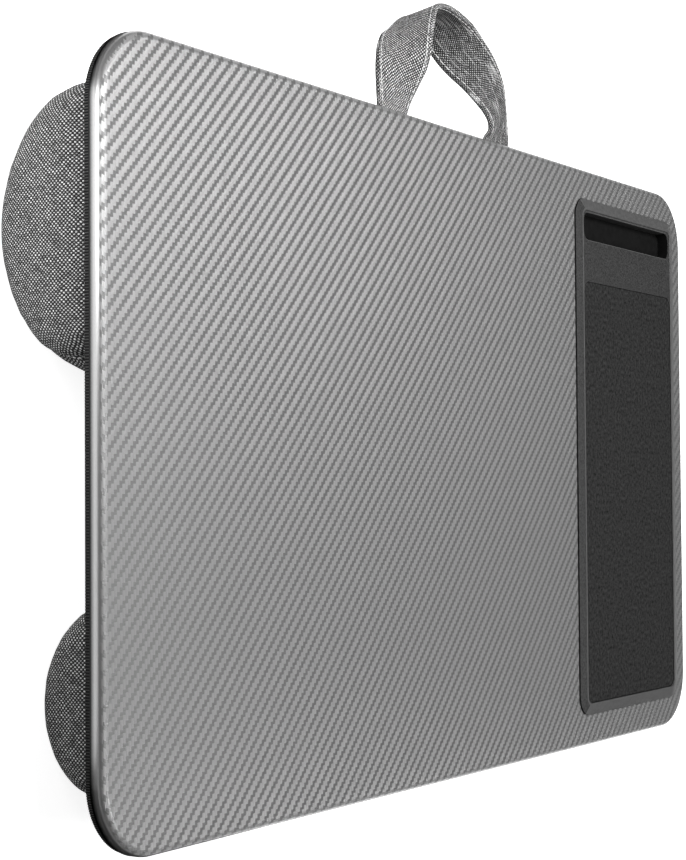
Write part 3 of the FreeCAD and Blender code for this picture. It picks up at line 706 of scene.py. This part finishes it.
# Bolsters: tubes of heather-grey plain weave, light warp and dark weft, with a puffed end panel sewn
# into each end, stuffed with loose beads and glued by their flat backs to the base sheet.
REAR_MIDDLE = 0.0805
REAR_GIRTH = 0.052
FRONT_MIDDLE = -0.0968
FRONT_GIRTH = 0.036
SEAM_MARGIN = 0.0175
SEAM_X = BOARD_WIDTH / 2 - SEAM_MARGIN
SEAT = -BOARD_THICKNESS - BASE_THICKNESS
SEAT_GAP = 0.0001
CLOTH_THICKNESS = 0.0012
COVER_ROOM = 0.0024
COVER_BACK = SEAT - 2 * CLOTH_THICKNESS
VOXEL = 0.004
PRESSURE = 4
POINT_MASS = 0.002
SIM_FRAMES = 20
SWELL_CAP = 0.0026
SEAM_BAND = 0.003
GROOVE_DEPTH = 0.0012
GROOVE_HALF = 0.0022
WRAP_SWELL = 0.0040
WRAP_REACH = 0.012
CINCH_SHARE = 0.17
CINCH_REACH = 0.006
CINCH_EASE = 3
PUCKER_DEPTH = 0.0005
PUCKER_PITCH = 0.011
PUCKER_LENGTH = 0.05
PUCKER_REACH = 0.013
PUCKER_SEED = 31
DENT_DEPTH = 0.0008
DENT_SCALE = 18
DENT_SEED = 9
LINEN_THREAD = 0.0008
LINEN_WANDER = 2.0
LINEN_RELIEF = 0.0004
LINEN_DARK = 0.006
LINEN_LIGHT = 0.82
SLUB_SPREAD = (0.3, 0.68)
SLUB_LEAST = 0.3
WEFT_TONE = 0.05


def new_linen(name, thread):
    """The heather cloth's shader, its cloth coordinates and the tone of its threads, with painted shade in
    the hollows between threads.
    """
    material, tree, shader = new_finish(
        name, Roughness=0.95, Sheen_Weight=0.04, Sheen_Roughness=0.5, Specular_IOR_Level=0.05)
    cloth_place = place_node(tree, "ShaderNodeUVMap").outputs["UV"]
    threads = use_group(tree, weave, Vector=scaled(tree, cloth_place, 1 / thread), Wander=LINEN_WANDER)
    slubs = remap(tree, threads["Slub"], *SLUB_SPREAD, low=SLUB_LEAST)
    # Painted shade: each thread darkens towards the hollows between threads
    painted_thread_shade = calc(tree, "POWER", calc(tree, "MAXIMUM", threads["Height"], 0), 2)
    dyed = between(tree, threads["Warp"], WEFT_TONE, 1)
    tone = calc(tree, "MULTIPLY", calc(tree, "MULTIPLY", painted_thread_shade, slubs), dyed)
    bump(tree, shader, threads["Height"], LINEN_RELIEF)
    return material, tree, shader, cloth_place, tone


linen, tree, shader, cloth_place, thread_tone = new_linen("heather_linen", LINEN_THREAD)
colour(tree, shader, grey_between(tree, thread_tone, LINEN_DARK, LINEN_LIGHT))


def modified(piece, kind, **options):
    """The piece's mesh after one modifier, which is then taken off again."""
    modifier = piece.modifiers.new(kind.lower(), kind)
    for option, value in options.items():
        setattr(modifier, option, value)
    depsgraph = bpy.context.evaluated_depsgraph_get()
    mesh = bpy.data.meshes.new_from_object(piece.evaluated_get(depsgraph))
    piece.modifiers.remove(modifier)
    return mesh


def swell(piece, held):
    """Blow the cover up under light pressure, with the held points still, and cap how far it moves."""
    places = [point.co.copy() for point in piece.data.vertices]
    group = piece.vertex_groups.new(name="held")
    group.add(held, 1, "REPLACE")
    cloth = piece.modifiers.new("cloth", "CLOTH")
    cloth.settings.vertex_group_mass = group.name
    cloth.settings.use_pressure = True
    cloth.settings.uniform_pressure_force = PRESSURE
    cloth.settings.effector_weights.gravity = 0
    cloth.settings.mass = POINT_MASS
    for number in range(1, SIM_FRAMES + 1):
        bpy.context.scene.frame_set(number)
    depsgraph = bpy.context.evaluated_depsgraph_get()
    mesh = bpy.data.meshes.new_from_object(piece.evaluated_get(depsgraph))
    piece.modifiers.remove(cloth)
    piece.vertex_groups.clear()
    bpy.context.scene.frame_set(1)
    for point, place in zip(mesh.vertices, places):
        move = point.co - place
        if move.length > SWELL_CAP:
            point.co = place + move.normalized() * SWELL_CAP
    piece.data = mesh


def stuffed_cover(name):
    """The cover over a bolster's fill: grown by the cloth's room, meshed evenly and blown up tight."""
    mesh = frame["nodes"][f"{name}_bolster_fill"].data.copy()
    mesh.transform(to_board)
    mesh.materials.clear()
    bm = bmesh.new()
    bm.from_mesh(mesh)
    bmesh.ops.remove_doubles(bm, verts=bm.verts[:], dist=CLOTH_THICKNESS / 100)
    bm.normal_update()
    for point in bm.verts:
        point.co += point.normal * point.calc_shell_factor() * COVER_ROOM
    bm.to_mesh(mesh)
    bm.free()
    piece = bpy.data.objects.new(f"{name}_bolster", mesh)
    bpy.context.scene.collection.objects.link(piece)
    piece.data = modified(piece, "REMESH", mode="VOXEL", voxel_size=VOXEL)
    held = []
    for point in piece.data.vertices:
        if point.co.z > COVER_BACK or abs(abs(point.co.x) - SEAM_X) < SEAM_BAND:
            held.append(point.index)
    swell(piece, held)
    piece.data = modified(piece, "SUBSURF", levels=1, render_levels=1)
    return piece


def settle(point, middle_y, girth):
    """Move one point of a cover as sewing and use do, then lay it flat on the seat and on the floor."""
    to_seam = abs(abs(point.co.x) - SEAM_X)
    turn = math.atan2(point.co.y - middle_y, SEAT - point.co.z) * girth
    pucker = noise.noise(Vector((turn / PUCKER_PITCH, point.co.x / PUCKER_LENGTH, middle_y * PUCKER_SEED)))
    dent = noise.noise(point.co * DENT_SCALE + Vector((0, middle_y * DENT_SEED, 0)))
    move = PUCKER_DEPTH * pucker * math.exp(-to_seam / PUCKER_REACH) + DENT_DEPTH * dent
    move -= GROOVE_DEPTH * math.exp(-(to_seam / GROOVE_HALF) ** 2)
    if abs(point.co.x) < SEAM_X:
        move += WRAP_SWELL * (1 - math.exp(-to_seam / WRAP_REACH))
    point.co += point.normal * move
    # The end seam pulls the front of the wrap in at the seat
    past_seam = max(SEAM_X - abs(point.co.x), 0)
    near_seat = max(1 - (SEAT - point.co.z) / girth, 0) ** CINCH_EASE
    front_side = min(max((middle_y - point.co.y) / girth, 0), 1)
    point.co.y += CINCH_SHARE * girth * math.exp(-past_seam / CINCH_REACH) * near_seat * front_side
    if point.co.z > COVER_BACK:
        point.co.z = SEAT - SEAT_GAP
    standing = board_pose @ point.co
    standing.z = max(standing.z, 0)
    point.co = to_board @ standing


def lay_cloth(bm, middle_y, girth):
    """UV map in metres: ends lie flat, and the wrap is unrolled round the bolster's middle."""
    cloth_map = bm.loops.layers.uv.new("cloth")
    for face in bm.faces:
        on_end = abs(face.calc_center_median().x) > SEAM_X
        for corner in face.loops:
            place = corner.vert.co
            if on_end:
                corner[cloth_map].uv = (place.y, place.z)
            else:
                turn = math.atan2(place.y - middle_y, SEAT - place.z)
                corner[cloth_map].uv = (place.x, turn * girth)


def walk_loop(edges):
    """The points of a closed edge loop, in order, each with its normal."""
    after = {}
    for edge in edges:
        for here, there in (edge.verts, reversed(edge.verts)):
            after.setdefault(here, []).append(there)
    here = edges[0].verts[0]
    line = [here]
    while True:
        fresh = [there for there in after[here] if there not in line[-2:] and there is not line[0]]
        if not fresh:
            break
        here = fresh[0]
        line.append(here)
    return [(point.co.copy(), point.normal.copy()) for point in line]


def make_bolster(name, middle_y, girth):
    """One stuffed bolster; returns the lines of its two end seams."""
    piece = stuffed_cover(name)
    bm = bmesh.new()
    bm.from_mesh(piece.data)
    seams = []
    for side in (-1, 1):
        for shift in (-GROOVE_HALF, GROOVE_HALF):
            cut_across(bm, (side * SEAM_X + shift, 0, 0), (1, 0, 0))
        seams.append(cut_across(bm, (side * SEAM_X, 0, 0), (1, 0, 0)))
    bm.normal_update()
    for point in bm.verts:
        settle(point, middle_y, girth)
    lay_cloth(bm, middle_y, girth)
    bm.normal_update()
    seam_lines = [walk_loop(seam) for seam in seams]
    bm.to_mesh(piece.data)
    bm.free()
    piece.data.transform(board_pose)
    piece.data.shade_smooth()
    piece.data.materials.clear()
    piece.data.materials.append(linen)
    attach(piece, "tray")
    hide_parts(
        f"{name}_bolster_cover", f"{name}_bolster_end_left", f"{name}_bolster_end_right",
        f"{name}_bolster_fill")
    return seam_lines


end_seams = make_bolster("rear", REAR_MIDDLE, REAR_GIRTH) + make_bolster("front", FRONT_MIDDLE, FRONT_GIRTH)


# Seam thread: light lockstitches that show in the groove between each end panel and its wrap.
# They are short, plump and close together, and none is sewn where the cover lies on the floor.
STITCH_LENGTH = 0.0019
STITCH_PITCH = 0.0027
STITCH_BREADTH = 0.0008
THREAD_SPECKLE = 2500
THREAD_TONES = (0.6, 0.9)

thread_finish, tree, shader = new_finish("light_thread", Roughness=0.7, Sheen_Weight=0.2)
thread_speckle = speckle(tree, object_place(tree), THREAD_SPECKLE)
colour(tree, shader, grey_between(tree, thread_speckle, *THREAD_TONES))


def spaced(line, pitch):
    """Even places along a line of points and normals: point, direction and normal."""
    left_over = 0
    for (here, up), (there, next_up) in zip(line, line[1:]):
        run = there - here
        reach = left_over
        while reach < run.length:
            share = reach / run.length
            yield here + run * share, run.normalized(), up.lerp(next_up, share)
            reach += pitch
        left_over = reach - run.length


def sew(bm, place, along, up, length, breadth):
    """One plump stitch that lies along the seam."""
    side = up.cross(along).normalized()
    up = along.cross(side)
    pose = Matrix((along, side, up)).transposed().to_4x4()
    pose.translation = place
    shape = pose @ Matrix.Diagonal((length, breadth, breadth, 1))
    bmesh.ops.create_uvsphere(bm, u_segments=6, v_segments=4, radius=0.5, matrix=shape)


seam_bm = bmesh.new()
for line in end_seams:
    for place, along, up in spaced(line, STITCH_PITCH):
        above_floor = (board_pose @ place).z > STITCH_BREADTH
        if place.z < COVER_BACK and above_floor:
            sew(seam_bm, place + up * STITCH_BREADTH / 2, along, up, STITCH_LENGTH, STITCH_BREADTH)
seam_thread = add_piece("end_seam_stitches", seam_bm, thread_finish)
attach(seam_thread, "tray")


# Carry strap: a flat band of the bolsters' cloth, folded double and sewn along both edges.
# Its tails lie in the board's recesses, and it makes half a turn from one foot to the other.
SWING_GAP = 0.0004
STRAP_RISE = 0.057
STRAP_LEAN = 0.0152
BAND_WIDTH = 0.025
PIVOT_Y = BOARD_DEPTH / 2 + STRAP_THICKNESS / 2 + SWING_GAP
PIVOT_Z = STRAP_THICKNESS / 2 - BOARD_THICKNESS
STRAP_STEPS = 160
SECTION_STEPS = 56
BAND_FLAT = BAND_WIDTH - STRAP_THICKNESS
BAND_FOLD = math.pi * STRAP_THICKNESS / 2
BAND_HALF_GIRTH = BAND_FLAT + BAND_FOLD
# Stations along the strap: shares of half span, rise and lean, then the turn in degrees
STRAP_SHARES = (
    (-1.0, -0.64, 0.0, 0),
    (-1.0, -0.32, 0.0, 0),
    (-1.0, 0.0, 0.0, 0),
    (-0.97, 0.28, -0.16, 26),
    (-0.89, 0.45, -0.18, 53),
    (-0.78, 0.61, -0.08, 75),
    (-0.62, 0.74, 0.06, 93),
    (-0.44, 0.85, 0.21, 101),
    (-0.22, 0.91, 0.30, 97),
    (0.02, 0.91, 0.35, 95),
    (0.24, 0.82, 0.37, 115),
    (0.45, 0.69, 0.25, 139),
    (0.64, 0.54, -0.01, 160),
    (0.82, 0.37, -0.16, 175),
    (0.94, 0.18, -0.18, 187),
    (1.0, 0.0, 0.0, 180),
    (1.0, -0.32, 0.0, 180),
    (1.0, -0.64, 0.0, 180),
)


def eased(shares, place):
    """A smooth curve through the stations, read at a place from 0 to 1."""
    spot = place * (len(shares) - 1)
    number = min(int(spot), len(shares) - 2)
    part = spot - number
    around = [shares[min(max(number + shift, 0), len(shares) - 1)] for shift in (-1, 0, 1, 2)]
    values = []
    for before, here, there, beyond in zip(*around):
        values.append(here + 0.5 * part * (there - before + part * (
            2 * before - 5 * here + 4 * there - beyond + part * (3 * (here - there) + beyond - before))))
    return values


def strap_centre(place):
    """Centre of the band at a place from 0 to 1 along it, and the band's turn there."""
    span, rise, lean, turn = eased(STRAP_SHARES, place)
    x = span * STRAP_HALF_SPAN - STRAP_OFFSET
    return Vector((x, PIVOT_Y + rise * STRAP_RISE, PIVOT_Z - lean * STRAP_LEAN)), math.radians(turn)


def strap_frame(place):
    """Centre of the band, its run, its cross direction and its outer side."""
    centre, turn = strap_centre(place)
    step = 0.5 / STRAP_STEPS
    along = (strap_centre(min(place + step, 1))[0] - strap_centre(max(place - step, 0))[0]).normalized()
    level = Vector((along.y, -along.x, 0)).normalized()
    across = level * math.cos(turn) + level.cross(along) * math.sin(turn)
    return centre, along, across, across.cross(along)


def band_section(reach):
    """Place on the band's flat, round-edged section after going this far round it: across and out."""
    half_turns, reach = divmod(reach, BAND_HALF_GIRTH)
    side = -1 if half_turns % 2 else 1
    half = STRAP_THICKNESS / 2
    if reach < BAND_FLAT:
        return side * (reach - BAND_FLAT / 2), side * half
    turn = (reach - BAND_FLAT) / half
    return side * (BAND_FLAT / 2 + half * math.sin(turn)), side * half * math.cos(turn)


strap_bm = bmesh.new()
cloth_map = strap_bm.loops.layers.uv.new("cloth")
bmesh.ops.create_grid(strap_bm, x_segments=STRAP_STEPS, y_segments=SECTION_STEPS, size=0.5)
marks = [strap_centre(number / STRAP_STEPS)[0] for number in range(STRAP_STEPS + 1)]
reached = [0]
for here, there in zip(marks, marks[1:]):
    reached.append(reached[-1] + (there - here).length)
for face in strap_bm.faces:
    for corner in face.loops:
        number = round((corner.vert.co.x + 0.5) * STRAP_STEPS)
        corner[cloth_map].uv = ((corner.vert.co.y + 0.5) * 2 * BAND_HALF_GIRTH, reached[number])
for point in strap_bm.verts:
    centre, along, across, outer = strap_frame(point.co.x + 0.5)
    aside, out = band_section((point.co.y + 0.5) * 2 * BAND_HALF_GIRTH)
    point.co = centre + across * aside + outer * out
bmesh.ops.remove_doubles(strap_bm, verts=strap_bm.verts[:], dist=STRAP_THICKNESS / 100)
bmesh.ops.holes_fill(strap_bm, edges=strap_bm.edges[:], sides=0)
bmesh.ops.recalc_face_normals(strap_bm, faces=strap_bm.faces[:])

# Finish of the strap: light slubs run along it, closest together at its hems and on its back. The face is
# painted lighter and the back darker, as painted light and shade on the two legs.
# Pairs of values are for the face and the back, or for the middle and the hems.
STRAP_THREAD = 0.00075
STRAP_LIGHT = 1.0
SLUB_CROSS_SCALE = 900
SLUB_LENGTH_SCALE = 70
SLUB_EDGE = (0.55, 0.7)
FACE_BACK_PAINTED_LIGHT = (1.4, 0.75)
FACE_BACK_SLUBS = (0.05, 0.3)
HEM_SLUBS = (0, 0.15)
strap_linen, tree, shader, cloth_place, thread_tone = new_linen("strap_linen", STRAP_THREAD)
laid = place_node(tree, "ShaderNodeSeparateXYZ", {0: cloth_place}).outputs
slubs = remap(tree, streaks(tree, laid["X"], SLUB_CROSS_SCALE, laid["Y"], SLUB_LENGTH_SCALE), *SLUB_EDGE)
folded = calc(tree, "FLOORED_MODULO", laid["X"], BAND_HALF_GIRTH)
off_middle = calc(tree, "ABSOLUTE", calc(tree, "SUBTRACT", folded, BAND_FLAT / 2))
hem = remap(tree, off_middle, BAND_FLAT / 4, BAND_FLAT / 2)
on_back = calc(tree, "GREATER_THAN", laid["X"], BAND_HALF_GIRTH)
# Painted light and shade: the face is lighter and the back darker
thread_tone = calc(tree, "MULTIPLY", thread_tone, between(tree, on_back, *FACE_BACK_PAINTED_LIGHT))
slub_share = calc(tree, "ADD", between(tree, hem, *HEM_SLUBS), between(tree, on_back, *FACE_BACK_SLUBS))
thread_tone = calc(tree, "MULTIPLY_ADD", slubs, slub_share, thread_tone)
colour(tree, shader, grey_between(tree, thread_tone, LINEN_DARK, STRAP_LIGHT))
strap = add_piece("carry_strap", strap_bm, strap_linen, sharp_degrees=60)

# Strap stitches: one row along each edge of the band, seen on both of its sides
HEM_INSET = 0.0022
SEW_PITCH = 0.0036
SEW_LENGTH = 0.0035
SEW_BREADTH = 0.00048
strap_thread_bm = bmesh.new()
for row in (-1, 1):
    for face_side in (-1, 1):
        line = []
        for number in range(STRAP_STEPS + 1):
            centre, along, across, outer = strap_frame(number / STRAP_STEPS)
            lift = outer * face_side * STRAP_THICKNESS / 2
            line.append((centre + across * row * (BAND_WIDTH / 2 - HEM_INSET) + lift, outer * face_side))
        for place, along, up in spaced(line, SEW_PITCH):
            if place.y > PIVOT_Y + STRAP_THICKNESS:
                sew(strap_thread_bm, place, along, up, SEW_LENGTH, SEW_BREADTH)
strap_thread = add_piece("strap_stitches", strap_thread_bm, thread_finish)

for piece in (strap, strap_thread):
    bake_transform(piece)
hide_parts("handle_strap", "strap_tail_left", "strap_tail_right")


# Staples: four staples of bright wire, two through each tail of the strap.
# They are driven up into the core before the base sheet goes on.
BRUSH_SCALE = 800
WIRE_TONES = (0.45, 0.65)
WIRE_ROUGHNESS = (0.25, 0.4)
staple_finish, tree, shader = new_finish("bright_wire", Metallic=1.0)
brushed = speckle(tree, object_place(tree), BRUSH_SCALE)
colour(tree, shader, grey_between(tree, brushed, *WIRE_TONES))
rough(tree, shader, brushed, *WIRE_ROUGHNESS)
repaint("strap_staples", staple_finish)


# Plain pale floor, soft light and the camera at the photograph's viewing angle.
# The floor shows white to the camera and still takes the tray's shadow. Two black cards lie on it out of
# the picture, and darken what the film's left corners mirror.
FLOOR_SIZE = 12
FLOOR_TONE = 0.8
FLOOR_LIFT = 0.86
CARD_LIFT = 0.001
floor_bm = bmesh.new()
bmesh.ops.create_grid(floor_bm, x_segments=1, y_segments=1, size=FLOOR_SIZE / 2)
floor_finish, tree, shader = new_finish("pale_floor", Roughness=0.9, Specular_IOR_Level=0.1)
shader.inputs["Base Color"].default_value = (FLOOR_TONE, FLOOR_TONE, FLOOR_TONE, 1)
shader.inputs["Emission Color"].default_value = (1, 1, 1, 1)
rays = place_node(tree, "ShaderNodeLightPath").outputs
mirrored = calc(tree, "ADD", rays["Is Glossy Ray"], rays["Is Transmission Ray"])
seen = calc(tree, "ADD", rays["Is Camera Ray"], mirrored)
tree.links.new(calc(tree, "MULTIPLY", seen, FLOOR_LIFT), shader.inputs["Emission Strength"])
floor = add_piece("floor", floor_bm, floor_finish, pose=Matrix.Identity(4))
floor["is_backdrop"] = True

card_finish, tree, shader = new_finish("black_card", Roughness=1, Specular_IOR_Level=0)
shader.inputs["Base Color"].default_value = (0, 0, 0, 1)


def dark_card(name, x, y, breadth, depth):
    """A black card on the floor, which only mirrored rays see."""
    card_bm = bmesh.new()
    bmesh.ops.create_grid(card_bm, x_segments=1, y_segments=1, size=0.5)
    bmesh.ops.scale(card_bm, verts=card_bm.verts[:], vec=(breadth, depth, 1))
    card = add_piece(name, card_bm, card_finish, pose=Matrix.Translation((x, y, CARD_LIFT)))
    card.visible_camera = False
    card.visible_shadow = False
    card.visible_diffuse = False
    card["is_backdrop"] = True


dark_card("front_card", x=-0.30, y=-0.29, breadth=0.36, depth=0.28)
dark_card("rear_card", x=-0.36, y=0.32, breadth=0.40, depth=0.34)

WORLD_LEVEL = 0.12
world = bpy.data.worlds.new("soft_room")
bpy.context.scene.world = world
world.use_nodes = True
background = world.node_tree.nodes["Background"]
background.inputs["Color"].default_value = (1, 1, 1, 1)
background.inputs["Strength"].default_value = WORLD_LEVEL


def soft_light(name, place, target, breadth, height, power):
    """A rectangular soft box, placed and aimed in the board's own frame."""
    data = bpy.data.lights.new(name, "AREA")
    data.shape = "RECTANGLE"
    data.size = breadth
    data.size_y = height
    data.energy = power
    lamp = bpy.data.objects.new(name, data)
    lamp.visible_camera = False
    bpy.context.scene.collection.objects.link(lamp)
    turn = (Vector(target) - Vector(place)).to_track_quat("-Z", "Y").to_matrix().to_4x4()
    lamp.matrix_world = board_pose @ Matrix.Translation(place) @ turn


soft_light("near_left", (-0.455, 0.14, 0.01), (-0.27, 0.10, -0.02), breadth=0.14, height=0.11, power=0.58)
soft_light("sheen_box", (0.26, 0.42, 1.15), (-0.2, 0.1, 0), breadth=0.5, height=0.4, power=8.6)
soft_light("sheen_low", (0.45, 0.10, 1.10), (-0.2, 0.1, 0), breadth=0.4, height=0.3, power=1.7)
soft_light("front_fill", (0.40, -0.50, 1.10), (-0.2, 0, 0), breadth=0.5, height=0.3, power=5.5)
soft_light("overhead", (-0.10, 0.10, 1.30), (-0.1, 0.05, 0), breadth=0.5, height=0.3, power=1.5)
soft_light("strap_light", (-0.30, 0.30, 0.55), (-0.03, 0.19, -0.01), breadth=0.15, height=0.1, power=2.7)

CAMERA_PLACE = (-0.82113, -0.02132, 0.44835)
CAMERA_TURN = math.radians(57.924)
CAMERA_PITCH = math.radians(-1.951)
CAMERA_ROLL = math.radians(0.378)
SENSOR_WIDTH = 36
FOCAL_LENGTH = 83.135
camera_data = bpy.data.cameras.new("camera")
camera_data.sensor_width = SENSOR_WIDTH
camera_data.lens = FOCAL_LENGTH
camera = bpy.data.objects.new("camera", camera_data)
bpy.context.scene.collection.objects.link(camera)
aim = Matrix.Rotation(CAMERA_ROLL, 4, "Z") @ Matrix.Rotation(CAMERA_PITCH, 4, "X")
aim = aim @ Matrix.Rotation(CAMERA_TURN, 4, "Y")
camera.matrix_world = board_pose @ Matrix.Translation(CAMERA_PLACE) @ aim.inverted()
bpy.context.scene.camera = camera
bpy.context.scene.view_settings.view_transform = "Standard"

sizes = {"cad": cad_box, "visual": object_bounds()}
{name: [list(corner) for corner in box] for name, box in sizes.items()}
